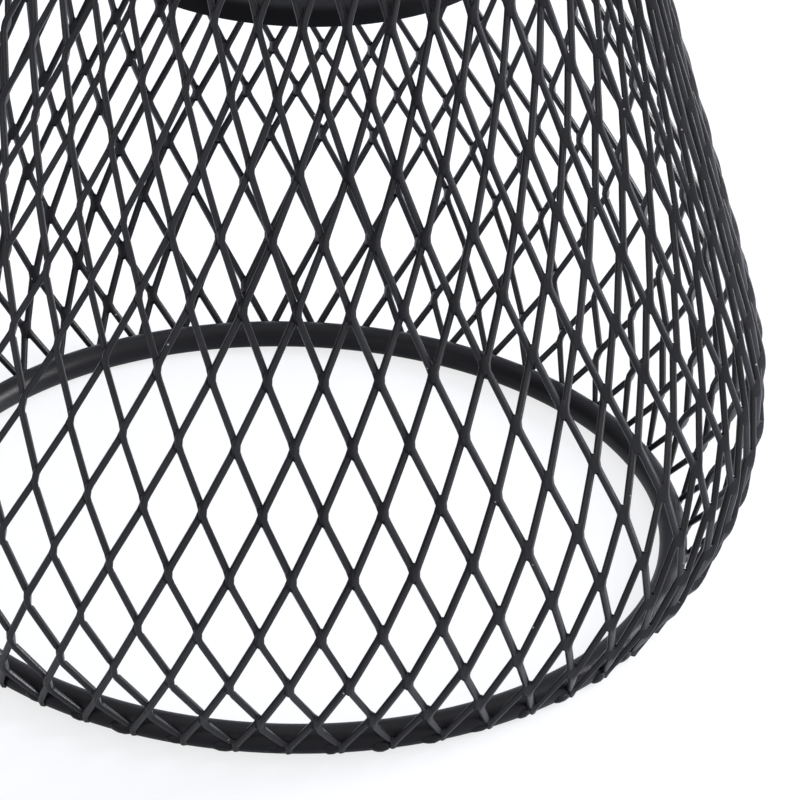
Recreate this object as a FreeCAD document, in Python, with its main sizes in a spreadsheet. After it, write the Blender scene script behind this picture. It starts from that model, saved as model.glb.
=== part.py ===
"""Bulb cage guard: a flared cage of expanded metal on a round-rod foot ring.

The wall is a surface of revolution whose middle line runs out in a straight flare, turns
through a round bulge and leans back in as a cone. Diamonds pressed from one sheet cover it.
A rod ring stiffens each end from inside. Near the top a collar for the lamp holder is
dropped into the cage on three bent wire arms.

Millimetres, +Z up. The origin is the centre of the foot ring, on the surface it stands on,
and the front of the cage is -Y.
"""
import FreeCAD, Part
import math
import os

import Sketcher

SIZES = [
    ("diamonds_round", 51, "diamonds in one turn of the mesh"),
    ("half_rows", 13, "half diamonds from the foot to the top edge"),
    ("mesh_turn", 5.517, "degrees that the mesh is turned on its ring"),
    ("foot_lift", 0.77, "height of the foot's middle line above the table"),
    ("cage_height", 108.32, "height of the mesh's middle line, foot to top edge"),
    ("foot_radius", 57.11, "radius of the mesh at its foot"),
    ("flare_angle", 25.22, "degrees that the foot leans outward"),
    ("flare_length", 8.34, "straight length of the flare"),
    ("bulge_radius", 42.95, "radius of the bulge above the flare"),
    ("foot_squeeze", 0.924, "length of the two lowest strands against the others"),
    ("squeezed_rows", 2, "number of half rows pressed shorter at the foot"),
    ("knuckle_half_width", 0.8, "half the width of the solid metal between two diamonds"),
    ("knuckle_half_height", 1.0, "half its height along the wall"),
    ("knuckle_tilt", 58.0, "degrees that its right half leans out of the wall"),
    ("strand_half_depth", 0.4, "half the depth of a strand through the wall"),
    ("strand_end", 0.45, "metal left past the last knuckle at both cut edges"),
    ("ring_rod_radius", 2.0, "radius of the rod of both rings"),
    ("weld_gap", 0.1, "clearance left for the weld between two pieces"),
    ("top_ring_drop", 1.3, "drop of the top ring's centre below the mesh's top edge"),
    ("collar_drop", 15.2, "drop of the collar's lower edge below the top ring's centre"),
    ("collar_hole_radius", 21.0, "radius of the hole that the lamp holder passes"),
    ("collar_plate", 6.7, "width of the collar's plate, from its hole to its outer edge"),
    ("collar_rim_height", 2.75, "height of the collar's turned-down rim"),
    ("collar_sheet", 1.0, "thickness of the collar's sheet"),
    ("collar_bend", 0.8, "outer radius of the bend between plate and rim"),
    ("arm_count", 3, "arms that carry the collar"),
    ("first_arm_angle", 90.0, "degrees from +X to the first arm, at the back"),
    ("arm_rod_radius", 1.5, "radius of the arms' wire"),
    ("arm_span", 12.1, "distance from the collar's outer edge to the top ring's centre line"),
    ("arm_inset", 1.2, "distance of an arm's end from the edge of the collar's hole"),
    ("arm_edge", 1.0, "distance from the collar's outer edge to where an arm leaves its plate"),
    ("arm_head", 4.2, "straight run of an arm under the top ring"),
    ("arm_overhang", 1.5, "reach of an arm past the top ring's centre line"),
    ("arm_bend", 4.0, "radius of the arms' bends"),
]

# Places that several pieces share, as expressions on the sheet.
RING_SEAT = "(Sizes.ring_rod_radius + Sizes.strand_half_depth + Sizes.weld_gap)"
FLARE_AT_RING = (
    "(Sizes.foot_radius + (Sizes.ring_rod_radius - Sizes.foot_lift) * tan(Sizes.flare_angle))"
)
FOOT_RING_CENTRE = "Sizes.ring_rod_radius"
FOOT_RING_RADIUS = f"({FLARE_AT_RING} - {RING_SEAT} / cos(Sizes.flare_angle))"
COLLAR_RADIUS = "(Sizes.collar_hole_radius + Sizes.collar_plate)"
TOP_RING_CENTRE = "(Sizes.foot_lift + Sizes.cage_height - Sizes.top_ring_drop)"
TOP_RING_RADIUS = f"({COLLAR_RADIUS} + Sizes.arm_span)"
COLLAR_FOOT = f"({TOP_RING_CENTRE} - Sizes.collar_drop)"
COLLAR_TOP = f"({COLLAR_FOOT} + Sizes.collar_rim_height)"
ARM_START = "(Sizes.collar_hole_radius + Sizes.arm_inset)"
ARM_RUN_OUT = f"({COLLAR_RADIUS} - Sizes.arm_edge - {ARM_START})"
ARM_END = f"({TOP_RING_RADIUS} + Sizes.arm_overhang)"
ARM_LOW = f"({COLLAR_TOP} + Sizes.arm_rod_radius + Sizes.weld_gap)"
ARM_HIGH = f"({TOP_RING_CENTRE} - Sizes.ring_rod_radius - Sizes.arm_rod_radius - Sizes.weld_gap)"

# The cone leaves the bulge as a tangent and passes the top ring at the ring's seat.
BULGE_AXIS = (
    "(Sizes.foot_radius + Sizes.flare_length * sin(Sizes.flare_angle)"
    " - Sizes.bulge_radius * cos(Sizes.flare_angle))"
)
BULGE_HEIGHT = (
    "(Sizes.foot_lift + Sizes.flare_length * cos(Sizes.flare_angle)"
    " + Sizes.bulge_radius * sin(Sizes.flare_angle))"
)
RING_FROM_BULGE = f"{TOP_RING_RADIUS} - {BULGE_AXIS}"
RING_OVER_BULGE = f"{TOP_RING_CENTRE} - {BULGE_HEIGHT}"
CONE_ANGLE = (
    f"(atan2({RING_OVER_BULGE}; {RING_FROM_BULGE})"
    f" - acos((Sizes.bulge_radius - {RING_SEAT}) / hypot({RING_OVER_BULGE}; {RING_FROM_BULGE})))"
)


def make_sheet(doc):
    """Put every driving size in one spreadsheet, as a plain number with an alias."""
    sheet = doc.addObject("Spreadsheet::Sheet", "Sizes")
    for row, (alias, value, note) in enumerate(SIZES, start=1):
        sheet.set(f"A{row}", note)
        sheet.set(f"B{row}", str(value))
        sheet.setAlias(f"B{row}", alias)
    doc.recompute()
    return sheet


def evaluate(sheet, expression):
    """The number that an expression on the sheet gives, angles in degrees."""
    return float(sheet.evalExpression(expression))


class Wall:
    """The middle line of the cage's wall, read from the sheet."""

    def __init__(self, sheet):
        self.foot_radius = sheet.foot_radius
        self.foot_lift = sheet.foot_lift
        self.flare = math.radians(sheet.flare_angle)
        self.flare_length = sheet.flare_length
        self.bulge = sheet.bulge_radius
        cone = math.radians(evaluate(sheet, CONE_ANGLE))
        self.bulge_length = self.bulge * (self.flare + cone)

    def at(self, length):
        """Radius, height and outward lean of the wall at a length up from its foot."""
        straight = min(length, self.flare_length)
        radius = self.foot_radius + straight * math.sin(self.flare)
        height = self.foot_lift + straight * math.cos(self.flare)
        turned = min(max(length - self.flare_length, 0.0), self.bulge_length)
        lean = self.flare - turned / self.bulge
        radius += self.bulge * (math.cos(lean) - math.cos(self.flare))
        height += self.bulge * (math.sin(self.flare) - math.sin(lean))
        rest = max(length - self.flare_length - self.bulge_length, 0.0)
        return radius + rest * math.sin(lean), height + rest * math.cos(lean), lean


def bisect(too_small, low, high, steps=60):
    """Halve the span until the point where too_small turns false is found."""
    for _ in range(steps):
        middle = 0.5 * (low + high)
        if too_small(middle):
            low = middle
        else:
            high = middle
    return 0.5 * (low + high)


def mesh_rows(wall, sheet, strand):
    """Lengths up the wall of all rows of knuckles, for strands of one length.

    Every strand crosses half a diamond's pitch, so the rows stand closer where the cage
    is wide. The strands of the lowest rows are pressed shorter.
    """
    half_pitch = math.pi / sheet.diamonds_round
    lengths = [0.0]
    for row in range(round(sheet.half_rows)):
        squeezed = row < round(sheet.squeezed_rows)
        goal = strand * (sheet.foot_squeeze if squeezed else 1.0)
        start = lengths[-1]
        radius, height, _ = wall.at(start)

        def too_short(length):
            next_radius, next_height, _ = wall.at(length)
            across = half_pitch * 0.5 * (radius + next_radius)
            return math.hypot(next_radius - radius, next_height - height, across) < goal

        lengths.append(bisect(too_short, start, start + goal))
    return lengths


def fit_rows(wall, sheet):
    """Rows whose last one lies at the cage's height, by finding the strand's length."""
    top = sheet.foot_lift + sheet.cage_height
    longest = 3.0 * sheet.cage_height / sheet.half_rows

    def too_short(strand):
        return wall.at(mesh_rows(wall, sheet, strand)[-1])[1] < top

    return mesh_rows(wall, sheet, bisect(too_short, 0.0, longest))


class Knuckle:
    """The six corners where four strands meet: outer, inner, top, bottom, left and right.

    Cutting and stretching the sheet leaves each knuckle turned, its right half out of the
    wall and its left half in. At the mesh's two edges it is pressed flat against the ring.
    """

    CORNERS = ("outer", "inner", "top", "bottom", "left", "right")

    def __init__(self, first_index, place, angle, sheet, edge):
        radius, height, lean = place
        away = FreeCAD.Vector(math.sin(angle), -math.cos(angle), 0)
        along = FreeCAD.Vector(math.cos(angle), math.sin(angle), 0)
        upright = FreeCAD.Vector(0, 0, 1)
        up_wall = away * math.sin(lean) + upright * math.cos(lean)
        normal = away * math.cos(lean) - upright * math.sin(lean)
        middle = away * radius + upright * height
        up_end = sheet.strand_end if edge == "top" else sheet.knuckle_half_height
        down_end = sheet.strand_end if edge == "foot" else sheet.knuckle_half_height
        tilt = math.radians(sheet.knuckle_tilt)
        across = along * math.cos(tilt)
        through = normal
        if edge is None:
            across += normal * math.sin(tilt)
            through = normal * math.cos(tilt) - along * math.sin(tilt)
        half_width = across * sheet.knuckle_half_width
        half_depth = through * sheet.strand_half_depth
        self.points = [
            middle + half_depth,
            middle - half_depth,
            middle + up_wall * up_end,
            middle - up_wall * down_end,
            middle - half_width,
            middle + half_width,
        ]
        for offset, corner in enumerate(self.CORNERS):
            setattr(self, corner, first_index + offset)


def strand_faces(low, high, rises_right):
    """Triangles of one strand, a bar that stands on its edge between two knuckles."""
    if rises_right:
        quads = [
            (low.outer, low.right, high.bottom, high.outer),
            (low.outer, high.outer, high.left, low.top),
            (low.inner, high.inner, high.bottom, low.right),
            (low.inner, low.top, high.left, high.inner),
        ]
    else:
        quads = [
            (low.outer, high.outer, high.bottom, low.left),
            (low.outer, low.top, high.right, high.outer),
            (low.inner, low.left, high.bottom, high.inner),
            (low.inner, high.inner, high.right, low.top),
        ]
    faces = []
    for one, two, three, four in quads:
        faces += [(one, two, three), (one, three, four)]
    return faces


def end_faces(knuckle, at_top):
    """Triangles that close the cut end of a knuckle at the mesh's top or bottom edge."""
    tip = knuckle.top if at_top else knuckle.bottom
    first, last = knuckle.left, knuckle.right
    if at_top:
        first, last = last, first
    return [
        (knuckle.outer, first, tip),
        (knuckle.outer, tip, last),
        (knuckle.inner, tip, first),
        (knuckle.inner, last, tip),
    ]


def mesh_solid(sheet):
    """The expanded metal as one closed solid of flat faces."""
    wall = Wall(sheet)
    rows = fit_rows(wall, sheet)
    columns = 2 * round(sheet.diamonds_round)
    half_pitch = 2.0 * math.pi / columns
    turn = math.radians(sheet.mesh_turn)
    last_row = len(rows) - 1
    points = []
    knuckles = {}
    for row, length in enumerate(rows):
        place = wall.at(length)
        edge = {0: "foot", last_row: "top"}.get(row)
        for column in range((row + 1) % 2, columns, 2):
            angle = turn + column * half_pitch
            knuckle = Knuckle(len(points), place, angle, sheet, edge)
            points += knuckle.points
            knuckles[row, column] = knuckle
    faces = []
    for (row, column), knuckle in knuckles.items():
        if row == 0:
            faces += end_faces(knuckle, at_top=False)
        if row == last_row:
            faces += end_faces(knuckle, at_top=True)
            continue
        right = knuckles[row + 1, (column + 1) % columns]
        left = knuckles[row + 1, (column - 1) % columns]
        faces += strand_faces(knuckle, right, rises_right=True)
        faces += strand_faces(knuckle, left, rises_right=False)
    shell = Part.Shape()
    shell.makeShapeFromMesh((points, faces), 1e-4)
    return Part.Solid(shell.Shells[0])


def make_mesh(doc, sheet):
    """The cage itself, pressed from one sheet of expanded metal."""
    cage = doc.addObject("Part::Feature", "MeshCage")
    cage.Label = "mesh_cage"
    cage.Shape = mesh_solid(sheet)
    cage.Placement = FreeCAD.Placement()
    return cage


def make_ring(doc, label, radius, height):
    """A ring of round rod, lying level."""
    ring = doc.addObject("Part::Torus", label.title().replace("_", ""))
    ring.Label = label
    ring.setExpression("Radius1", radius)
    ring.setExpression("Radius2", "Sizes.ring_rod_radius")
    ring.setExpression("Placement.Base.z", height)
    return ring


def origin_plane(body, role):
    """One of the body's own origin planes."""
    return next(item for item in body.Origin.OriginFeatures if item.Role == role)


def plane_sketch(body, name, role):
    """An empty sketch on one of the body's origin planes."""
    sketch = body.newObject("Sketcher::SketchObject", name)
    sketch.AttachmentSupport = [(origin_plane(body, role), "")]
    sketch.MapMode = "FlatFace"
    return sketch


def add_size(sketch, kind, places, value, name, expression):
    """Add a named sketch dimension and bind it to the sheet."""
    index = sketch.addConstraint(Sketcher.Constraint(kind, *places, value))
    sketch.renameConstraint(index, name)
    sketch.setExpression(f"Constraints.{name}", expression)


def make_collar(doc, sheet):
    """The pressed collar: a flat plate with a round hole and a turned-down rim."""
    body = doc.addObject("PartDesign::Body", "FitterRing")
    body.Label = "fitter_ring"
    sketch = plane_sketch(body, "CollarProfile", "XZ_Plane")
    foot = evaluate(sheet, COLLAR_FOOT)
    top = evaluate(sheet, COLLAR_TOP)
    hole = sheet.collar_hole_radius
    outside = evaluate(sheet, COLLAR_RADIUS)
    inside = outside - sheet.collar_sheet
    under = top - sheet.collar_sheet
    corners = [
        (outside, foot),
        (outside, top),
        (hole, top),
        (hole, under),
        (inside, under),
        (inside, foot),
    ]
    count = len(corners)
    for start, end in zip(corners, corners[1:] + corners[:1]):
        sketch.addGeometry(Part.LineSegment(FreeCAD.Vector(*start, 0), FreeCAD.Vector(*end, 0)))
    for side in range(count):
        sketch.addConstraint(Sketcher.Constraint("Coincident", side, 2, (side + 1) % count, 1))
        direction = "Horizontal" if side % 2 else "Vertical"
        sketch.addConstraint(Sketcher.Constraint(direction, side))
    add_size(sketch, "DistanceX", (-1, 1, 0, 1), outside, "outside", COLLAR_RADIUS)
    add_size(sketch, "DistanceY", (-1, 1, 0, 1), foot, "foot", COLLAR_FOOT)
    add_size(sketch, "DistanceY", (0, 1, 0, 2), top - foot, "rim", "Sizes.collar_rim_height")
    add_size(sketch, "DistanceX", (-1, 1, 2, 1), hole, "hole", "Sizes.collar_hole_radius")
    add_size(sketch, "DistanceY", (2, 2, 2, 1), top - under, "plate", "Sizes.collar_sheet")
    add_size(sketch, "DistanceX", (4, 1, 0, 1), outside - inside, "wall", "Sizes.collar_sheet")
    turned = body.newObject("PartDesign::Revolution", "CollarTurned")
    turned.Profile = sketch
    turned.ReferenceAxis = (sketch, ["V_Axis"])
    turned.Angle = 360
    doc.recompute()
    rim_edges = [
        f"Edge{number}"
        for number, edge in enumerate(turned.Shape.Edges, start=1)
        if is_outer_top_edge(edge, outside, top)
    ]
    bend = body.newObject("PartDesign::Fillet", "CollarBend")
    bend.Base = (turned, rim_edges)
    bend.setExpression("Radius", "Sizes.collar_bend")
    return body


def is_outer_top_edge(edge, radius, height):
    """Whether an edge is the collar's outer circle at the top of its rim."""
    curve = edge.Curve
    if not isinstance(curve, Part.Circle):
        return False
    return abs(curve.Radius - radius) < 1e-6 and abs(curve.Center.z - height) < 1e-6


def arm_path(body, sheet):
    """The bent line of an arm: along the collar, up a slope and along under the top ring."""
    path = plane_sketch(body, "ArmPath", "XZ_Plane")
    start = evaluate(sheet, ARM_START)
    end = evaluate(sheet, ARM_END)
    low = evaluate(sheet, ARM_LOW)
    high = evaluate(sheet, ARM_HIGH)
    bend = sheet.arm_bend
    foot_run = evaluate(sheet, ARM_RUN_OUT)
    run = end - sheet.arm_head - start - foot_run
    rise = high - low

    def too_flat(angle):
        drop = 2.0 * bend * (1.0 - math.cos(angle))
        span = run - 2.0 * bend * math.sin(angle)
        return drop + span * math.tan(angle) < rise

    slope = bisect(too_flat, 0.0, 0.4 * math.pi)
    foot_end = FreeCAD.Vector(start + foot_run, low, 0)
    head_start = FreeCAD.Vector(end - sheet.arm_head, high, 0)
    across = FreeCAD.Vector(0, bend, 0)
    tilt = FreeCAD.Vector(math.sin(slope), -math.cos(slope), 0) * bend
    axis = FreeCAD.Vector(0, 0, 1)
    low_centre = foot_end + across
    high_centre = head_start - across
    quarter = 0.5 * math.pi
    path.addGeometry(Part.LineSegment(FreeCAD.Vector(start, low, 0), foot_end))
    low_circle = Part.Circle(low_centre, axis, bend)
    path.addGeometry(Part.ArcOfCircle(low_circle, -quarter, slope - quarter))
    path.addGeometry(Part.LineSegment(low_centre + tilt, high_centre - tilt))
    high_circle = Part.Circle(high_centre, axis, bend)
    path.addGeometry(Part.ArcOfCircle(high_circle, quarter, slope + quarter))
    path.addGeometry(Part.LineSegment(head_start, FreeCAD.Vector(end, high, 0)))
    for joint in ((0, 2, 1, 1), (1, 2, 2, 1), (2, 2, 3, 2), (3, 1, 4, 1)):
        path.addConstraint(Sketcher.Constraint("Tangent", *joint))
    path.addConstraint(Sketcher.Constraint("Horizontal", 0))
    path.addConstraint(Sketcher.Constraint("Horizontal", 4))
    path.addConstraint(Sketcher.Constraint("Equal", 1, 3))
    add_size(path, "DistanceX", (-1, 1, 0, 1), start, "start", ARM_START)
    add_size(path, "DistanceY", (-1, 1, 0, 1), low, "low", ARM_LOW)
    add_size(path, "DistanceX", (-1, 1, 4, 2), end, "finish", ARM_END)
    add_size(path, "DistanceY", (-1, 1, 4, 2), high, "high", ARM_HIGH)
    add_size(path, "DistanceX", (0, 1, 0, 2), foot_run, "foot", ARM_RUN_OUT)
    add_size(path, "DistanceX", (4, 1, 4, 2), sheet.arm_head, "head", "Sizes.arm_head")
    add_size(path, "Radius", (1,), bend, "bend", "Sizes.arm_bend")
    return path


def make_arm(doc, sheet, number):
    """One bent wire arm from the collar's plate to the underside of the top ring."""
    body = doc.addObject("PartDesign::Body", f"FitterArm{number}")
    body.Label = f"fitter_arm_{number}"
    path = arm_path(body, sheet)
    section = plane_sketch(body, "ArmSection", "YZ_Plane")
    section.setExpression("AttachmentOffset.Base.z", ARM_START)
    centre_height = evaluate(sheet, ARM_LOW)
    centre = FreeCAD.Vector(0, centre_height, 0)
    section.addGeometry(Part.Circle(centre, FreeCAD.Vector(0, 0, 1), sheet.arm_rod_radius))
    section.addConstraint(Sketcher.Constraint("PointOnObject", 0, 3, -2))
    add_size(section, "DistanceY", (-1, 1, 0, 3), centre_height, "height", ARM_LOW)
    add_size(section, "Radius", (0,), sheet.arm_rod_radius, "rod", "Sizes.arm_rod_radius")
    doc.recompute()
    wire = body.newObject("PartDesign::AdditivePipe", "ArmWire")
    wire.Profile = section
    wire.Spine = (path, [f"Edge{edge}" for edge in range(1, path.GeometryCount + 1)])
    turn = f"Sizes.first_arm_angle + {number - 1} * 360 / Sizes.arm_count"
    body.setExpression("Placement.Rotation.Angle", turn)
    return body


def check_objects(doc, pieces):
    """Stop with a plain message if any object or any piece came out wrong."""
    for item in doc.Objects:
        if "Invalid" in item.State or "Error" in item.State:
            raise RuntimeError(f"{item.Label} did not compute: {item.State}")
    for piece in pieces:
        if piece.Shape.isNull() or not piece.Shape.isValid():
            raise RuntimeError(f"{piece.Label} has no valid shape")


def main():
    """Build every piece and write one file for each."""
    os.makedirs("parts", exist_ok=True)
    doc = FreeCAD.newDocument("BulbCageGuard")
    sheet = make_sheet(doc)
    pieces = [
        make_mesh(doc, sheet),
        make_ring(doc, "bottom_ring", FOOT_RING_RADIUS, FOOT_RING_CENTRE),
        make_ring(doc, "top_ring", TOP_RING_RADIUS, TOP_RING_CENTRE),
        make_collar(doc, sheet),
    ]
    for number in range(1, round(sheet.arm_count) + 1):
        pieces.append(make_arm(doc, sheet, number))
    doc.recompute()
    check_objects(doc, pieces)
    for piece in pieces:
        piece.Shape.exportStep(f"parts/{piece.Label}.step")


main()
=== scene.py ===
"""Looks of the bulb cage guard: coated expanded metal, rod rings, collar and arms.

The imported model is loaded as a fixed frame. Every sub-assembly is a class that builds its
finished meshes in the same place. Lengths in the classes are in millimetres, and in metres
where a mesh is written.
"""

import logging
import random
from dataclasses import dataclass, field
from enum import Enum
from math import cos, hypot, pi, radians, sin, tan, tau
from typing import Any, Callable, Iterable

import bpy
from bpy.types import Material, NodeTree, Object
from mathutils import Matrix, Vector


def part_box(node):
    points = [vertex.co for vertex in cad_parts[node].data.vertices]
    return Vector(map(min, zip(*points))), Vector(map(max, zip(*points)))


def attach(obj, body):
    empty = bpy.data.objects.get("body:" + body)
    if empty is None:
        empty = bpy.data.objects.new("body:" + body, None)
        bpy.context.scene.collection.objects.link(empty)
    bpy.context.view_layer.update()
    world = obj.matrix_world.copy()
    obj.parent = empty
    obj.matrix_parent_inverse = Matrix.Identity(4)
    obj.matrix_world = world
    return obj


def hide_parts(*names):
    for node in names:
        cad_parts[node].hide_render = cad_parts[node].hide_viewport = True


LOG = logging.getLogger("bulb_cage_guard")
MM = 0.001
IMAGE_PIXELS = 800
SENSOR_MM = 36.0
ATTRIBUTE = "GeometryNodeInputNamedAttribute"
# The foot ring stands a little further out than its solid, as the photograph shows.
FOOT_RING_OUTWARD = 0.35
# How often bisect halves the span in which it looks.
HALVINGS = 50
# The corners of each face of a mesh, and the points of a line or of a section.
Faces = list[tuple[int, ...]]
Line = list[tuple[float, float]]

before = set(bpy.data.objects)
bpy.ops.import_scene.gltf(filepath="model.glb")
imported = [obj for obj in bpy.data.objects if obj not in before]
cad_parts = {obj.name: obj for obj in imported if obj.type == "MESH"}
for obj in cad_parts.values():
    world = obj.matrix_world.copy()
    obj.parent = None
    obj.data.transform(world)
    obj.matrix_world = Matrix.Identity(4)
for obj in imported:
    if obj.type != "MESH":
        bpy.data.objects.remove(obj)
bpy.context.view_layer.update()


def linear(hex_colour: str) -> tuple[float, float, float, float]:
    """Turn an sRGB hex colour to the linear values that a shader takes.

    Args:
        hex_colour: Six hex digits, such as "1e1f22".

    Returns:
        Red, green, blue and an alpha of 1.
    """
    channels = []
    for start in (0, 2, 4):
        value = int(hex_colour[start:start + 2], 16) / 255.0
        channels.append(value / 12.92 if value <= 0.04045 else ((value + 0.055) / 1.055) ** 2.4)
    return channels[0], channels[1], channels[2], 1.0


def add_node(tree: NodeTree, kind: str, links: dict[Any, Any] | None = None, **options: Any) -> Any:
    """Add a node, set its properties and feed its inputs.

    Args:
        tree: The tree that gets the node.
        kind: The node's type name.
        links: For each input, by name or number, a socket to link or a value to set.
        options: Properties of the node itself.

    Returns:
        The new node.
    """
    node = tree.nodes.new(kind)
    for name, value in options.items():
        setattr(node, name, value)
    for key, value in (links or {}).items():
        if isinstance(value, bpy.types.NodeSocket):
            tree.links.new(value, node.inputs[key])
        else:
            node.inputs[key].default_value = value
    return node


class Sum:
    """A number in a node tree that can be worked with as in ordinary arithmetic."""

    def __init__(self, tree: NodeTree, socket: Any) -> None:
        """Hold a socket or a plain number of one tree."""
        self.tree = tree
        self.socket = socket

    def do(self, operation: str, *others: Any) -> "Sum":
        """Apply a math node.

        Args:
            operation: The math node's operation, such as "ADD".
            others: Further inputs, each a Sum or a plain number.

        Returns:
            The node's result.
        """
        inputs = [other.socket if isinstance(other, Sum) else other for other in (self, *others)]
        node = add_node(self.tree, "ShaderNodeMath", dict(enumerate(inputs)), operation=operation)
        return Sum(self.tree, node.outputs[0])

    def __add__(self, other: Any) -> "Sum":
        """Add."""
        return self.do("ADD", other)

    def __sub__(self, other: Any) -> "Sum":
        """Subtract."""
        return self.do("SUBTRACT", other)

    def __mul__(self, other: Any) -> "Sum":
        """Multiply."""
        return self.do("MULTIPLY", other)

    def __truediv__(self, other: Any) -> "Sum":
        """Divide."""
        return self.do("DIVIDE", other)


@dataclass(frozen=True)
class PowderCoat:
    """Baked powder coat on steel: an even matt black skin that has flowed round every edge.

    It gives the eye a soft, slightly uneven sheen, with a fine orange peel where the light
    grazes it, specks where the powder did not quite level, and a few grains of pale dust.
    """

    name: str
    colour: str
    worn_colour: str
    roughness: float
    roughness_spread: float
    peel_mm: float
    peel_height_mm: float
    specular: float = 0.25
    # Faint clouds and fine specks of a thinner coat, the clouds' weight against the specks',
    # and the levels between which the coat goes from full to thin.
    cloud_mm: float = 14.0
    speck_mm: float = 0.25
    cloud_share: float = 0.7
    colour_levels: tuple[float, float] = (0.35, 0.68)
    sheen_levels: tuple[float, float] = (0.3, 0.7)
    # Grains of dust: how far apart they may lie, their radius and the share that is there.
    dust_colour: str = "a8a6a4"
    dust_apart_mm: float = 3.0
    dust_size_mm: float = 0.13
    dust_share: float = 0.35

    def material(self) -> Material:
        """Build the coat's material.

        Returns:
            A material that reads object coordinates only.
        """
        material = bpy.data.materials.new(self.name)
        material.use_nodes = True
        tree = material.node_tree
        tree.nodes.clear()
        place = add_node(tree, "ShaderNodeTexCoord").outputs["Object"]
        clouds, specks, peel = (
            add_node(
                tree, "ShaderNodeTexNoise",
                {"Vector": place, "Scale": 1.0 / (size * MM), "Detail": detail, "Roughness": fine},
            ).outputs["Fac"]
            for size, detail, fine in (
                (self.cloud_mm, 3.0, 0.55),
                (self.speck_mm, 2.0, 0.6),
                (self.peel_mm, 1.5, 0.45),
            )
        )
        blend = Sum(tree, clouds) * self.cloud_share + Sum(tree, specks) * (1.0 - self.cloud_share)
        colour = add_node(tree, "ShaderNodeValToRGB", {"Fac": blend.socket})
        shades = (self.colour, self.worn_colour)
        for stop, level, shade in zip(colour.color_ramp.elements, self.colour_levels, shades):
            stop.position = level
            stop.color = linear(shade)
        spots = {"Vector": place, "Scale": 1.0 / (self.dust_apart_mm * MM)}
        grains = add_node(tree, "ShaderNodeTexVoronoi", spots)
        size = self.dust_size_mm / self.dust_apart_mm
        near = Sum(tree, grains.outputs["Distance"]).do("LESS_THAN", size)
        lot = add_node(tree, "ShaderNodeSeparateColor", {0: grains.outputs["Color"]})
        there = Sum(tree, lot.outputs[0]).do("LESS_THAN", self.dust_share)
        tints = {0: (near * there).socket, 6: colour.outputs["Color"], 7: linear(self.dust_colour)}
        dusted = add_node(tree, "ShaderNodeMix", tints, data_type="RGBA").outputs[2]
        rough = add_node(
            tree, "ShaderNodeMapRange",
            {
                "Value": blend.socket,
                "From Min": self.sheen_levels[0],
                "From Max": self.sheen_levels[1],
                "To Min": self.roughness - self.roughness_spread,
                "To Max": self.roughness + self.roughness_spread,
            },
        ).outputs[0]
        dents = {"Height": peel, "Strength": 1.0, "Distance": self.peel_height_mm * MM}
        bump = add_node(tree, "ShaderNodeBump", dents).outputs["Normal"]
        look = {"Base Color": dusted, "Roughness": rough, "Normal": bump}
        look["Specular IOR Level"] = self.specular
        surface = add_node(tree, "ShaderNodeBsdfPrincipled", look)
        add_node(tree, "ShaderNodeOutputMaterial", {"Surface": surface.outputs["BSDF"]})
        return material


MESH_COAT = PowderCoat(
    "matt_black_powder_coat_on_expanded_steel",
    colour="1b1b1e", worn_colour="28282c", roughness=0.34, roughness_spread=0.05,
    peel_mm=0.5, peel_height_mm=0.02,
)
ROD_COAT = PowderCoat(
    "satin_black_powder_coat_on_rod",
    colour="101014", worn_colour="1a1a1f", roughness=0.42, roughness_spread=0.05,
    peel_mm=0.7, peel_height_mm=0.015, specular=0.2,
)
# The collar has the same black powder coat as the other pieces, set darker here as painted shade.
# The darker colour stands for the shade that falls on the plate's top face under the top of the
# cage.
COLLAR_COAT_WITH_PAINTED_SHADE = PowderCoat(
    "matt_black_powder_coat_on_pressed_sheet",
    colour="08080b", worn_colour="101014", roughness=0.6, roughness_spread=0.05,
    peel_mm=0.6, peel_height_mm=0.015, specular=0.12,
)


@dataclass(frozen=True)
class WallLine:
    """The middle line of the cage's wall: a straight flare, a round bulge, a straight cone."""

    foot_radius: float = 57.11
    foot_lift: float = 0.77
    cage_height: float = 108.32
    flare_angle: float = 25.22
    flare_length: float = 8.34
    bulge_radius: float = 42.95
    cone_angle: float = 16.61

    def at(self, length: float) -> tuple[float, float, float]:
        """Find a point of the line.

        Args:
            length: Distance up the wall from its foot, in millimetres.

        Returns:
            Radius, height and outward lean in radians.
        """
        flare = radians(self.flare_angle)
        bend_length = self.bulge_radius * (flare + radians(self.cone_angle))
        straight = min(length, self.flare_length)
        turned = min(max(length - self.flare_length, 0.0), bend_length)
        rest = max(length - self.flare_length - bend_length, 0.0)
        lean = flare - turned / self.bulge_radius
        radius = self.foot_radius + straight * sin(flare)
        radius += self.bulge_radius * (cos(lean) - cos(flare)) + rest * sin(lean)
        height = self.foot_lift + straight * cos(flare)
        height += self.bulge_radius * (sin(flare) - sin(lean)) + rest * cos(lean)
        return radius, height, lean


def bisect(too_small: Callable[[float], bool], low: float, high: float) -> float:
    """Find where a test turns false.

    Args:
        too_small: The test, true below the wanted value.
        low: A value below it.
        high: A value above it.

    Returns:
        The wanted value.
    """
    for _ in range(HALVINGS):
        middle = 0.5 * (low + high)
        if too_small(middle):
            low = middle
        else:
            high = middle
    return 0.5 * (low + high)


class Cut(Enum):
    """Where a knuckle of the mesh stands, and so which strands leave it."""

    FOOT = 0
    MIDDLE = 1
    TOP = 2


def new_object(name: str, data: bpy.types.ID) -> Object:
    """Link an object at the origin that holds a mesh, a lamp or a camera."""
    made = bpy.data.objects.new(name, data)
    bpy.context.scene.collection.objects.link(made)
    return made


def solid(name: str, points: list[Any], faces: Faces, coat: Material) -> Object:
    """Make a finished object from points in metres and faces that look outwards.

    Args:
        name: The piece's name.
        points: Its corners.
        faces: Its faces. Those with four corners are shaded smooth, the others flat.
        coat: The finish.

    Returns:
        The object.
    """
    mesh = bpy.data.meshes.new(name)
    mesh.from_pydata(points, [], faces)
    mesh.materials.append(coat)
    mesh.polygons.foreach_set("use_smooth", [len(face) == 4 for face in faces])
    return new_object(name, mesh)


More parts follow.
